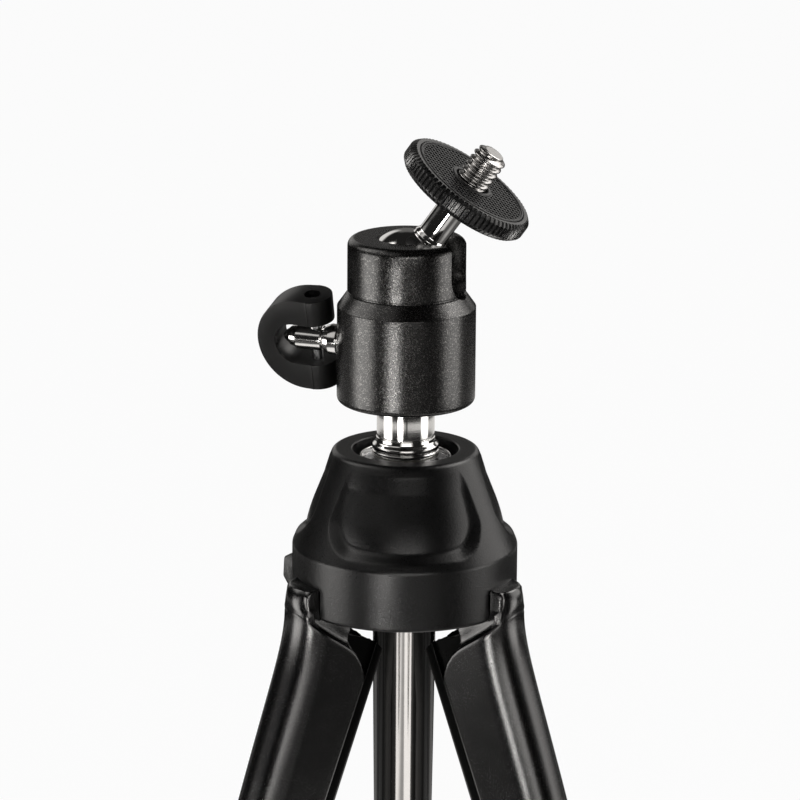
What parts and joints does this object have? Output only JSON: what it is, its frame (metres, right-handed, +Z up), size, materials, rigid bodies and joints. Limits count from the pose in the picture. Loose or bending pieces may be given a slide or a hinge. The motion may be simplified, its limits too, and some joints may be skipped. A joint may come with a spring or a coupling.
{
  "type": "tabletop tripod",
  "caption": "Tabletop tripod with three spreading telescopic legs, a panning chrome column and a ball head with a clamp spindle, folding wing and camera screw.",
  "frame": {"origin": "on the surface the tripod stands on, under the axis of the column, midway between the three feet", "axes": "+Z up along the column; +Y along the rear leg; the platform tilts towards +X"},
  "size_m": [0.0952, 0.0839, 0.1969],
  "materials": {
    "hub_plastic": "fine spark texture, satin black",
    "head_metal": "black anodised, satin, finely blasted",
    "chrome": "bright plated",
    "steel": "plain machined",
    "wing_plastic": "moulded satin black",
    "wheel_plastic": "moulded satin black, ribbed edge",
    "pad_rubber": "waffle pattern, dark grey",
    "leg_plastic": "satin black",
    "liner_plastic": "semi-gloss black",
    "foot_rubber": "matt black",
    "bearing_plastic": "natural acetal"
  },
  "bodies": {
    "hub": {"hub_shell": "hub_plastic", "hub_core": "hub_plastic", "column_bushing": "bearing_plastic", "bearing_cup": "steel", "wave_washer": "steel", "hinge_pins": "steel", "hinge_washers": "bearing_plastic", "core_screws": "steel", "lever_pin": "steel", "clamp_shoe": "bearing_plastic"},
    "lever": {"column_lever": "wing_plastic"},
    "head": {"centre_column": "chrome", "column_washer": "steel", "column_screw": "steel", "head_housing": "head_metal", "base_plug": "steel", "ball_seat": "bearing_plastic", "plunger": "steel"},
    "ball": {"ball_stem": "chrome", "camera_screw": "chrome"},
    "wheel": {"platform_wheel": "wheel_plastic", "rubber_pad": "pad_rubber"},
    "spindle": {"lock_spindle": "chrome", "wing_pin": "steel"},
    "wing": {"lock_wing": "wing_plastic"},
    "leg_1": {"leg_shell_1": "leg_plastic", "leg_liner_1": "liner_plastic", "upper_tube_1": "chrome", "leg_collar_1": "leg_plastic"},
    "extension_1": {"lower_tube_1": "chrome", "tube_stop_1": "bearing_plastic", "foot_1": "foot_rubber"},
    "leg_2": {"leg_shell_2": "leg_plastic", "leg_liner_2": "liner_plastic", "upper_tube_2": "chrome", "leg_collar_2": "leg_plastic"},
    "extension_2": {"lower_tube_2": "chrome", "tube_stop_2": "bearing_plastic", "foot_2": "foot_rubber"},
    "leg_3": {"leg_shell_3": "leg_plastic", "leg_liner_3": "liner_plastic", "upper_tube_3": "chrome", "leg_collar_3": "leg_plastic"},
    "extension_3": {"lower_tube_3": "chrome", "tube_stop_3": "bearing_plastic", "foot_3": "foot_rubber"}
  },
  "joints": [
    {"name": "column_pan", "type": "hinge", "parent": "hub", "child": "head", "pos_m": [0, 0, 0.13774], "axis": [0, 0, 1], "continuous": true},
    {"name": "ball_tilt", "type": "hinge", "parent": "head", "child": "ball", "pos_m": [0, 0, 0.17214], "axis": [0.225, 0.9744, 0], "range_deg": [-50, 55]},
    {"name": "platform_turn", "type": "hinge", "parent": "ball", "child": "wheel", "pos_m": [0.01006, -0.00232, 0.18689], "axis": [0.5589, -0.129, 0.8192], "continuous": true},
    {"name": "spindle_turn", "type": "hinge", "parent": "head", "child": "spindle", "pos_m": [-0.0094, 0.00342, 0.15744], "axis": [-0.9397, 0.342, 0], "range_deg": [0, 180]},
    {"name": "wing_fold", "type": "hinge", "parent": "spindle", "child": "wing", "pos_m": [-0.01691, 0.00616, 0.15744], "axis": [-0.0827, -0.2273, 0.9703], "range_deg": [-90, 90]},
    {"name": "lever_flip", "type": "hinge", "parent": "hub", "child": "lever", "pos_m": [-0.01671, 0.00965, 0.11074], "axis": [0.5, 0.866, 0], "range_deg": [0, 75]},
    {"name": "leg_hinge_1", "type": "hinge", "parent": "hub", "child": "leg_1", "pos_m": [0, 0.0146, 0.11324], "axis": [1, 0, 0], "range_deg": [-20, 0]},
    {"name": "leg_draw_1", "type": "slide", "parent": "leg_1", "child": "extension_1", "axis": [0, 0.342, -0.9397], "range_m": [0, 0.055]},
    {"name": "leg_hinge_2", "type": "hinge", "parent": "hub", "child": "leg_2", "pos_m": [-0.01264, -0.0073, 0.11324], "axis": [-0.5, 0.866, 0], "range_deg": [-20, 0]},
    {"name": "leg_draw_2", "type": "slide", "parent": "leg_2", "child": "extension_2", "axis": [-0.2962, -0.171, -0.9397], "range_m": [0, 0.055]},
    {"name": "leg_hinge_3", "type": "hinge", "parent": "hub", "child": "leg_3", "pos_m": [0.01264, -0.0073, 0.11324], "axis": [-0.5, -0.866, 0], "range_deg": [-20, 0]},
    {"name": "leg_draw_3", "type": "slide", "parent": "leg_3", "child": "extension_3", "axis": [0.2962, -0.171, -0.9397], "range_m": [0, 0.055]}
  ]
}
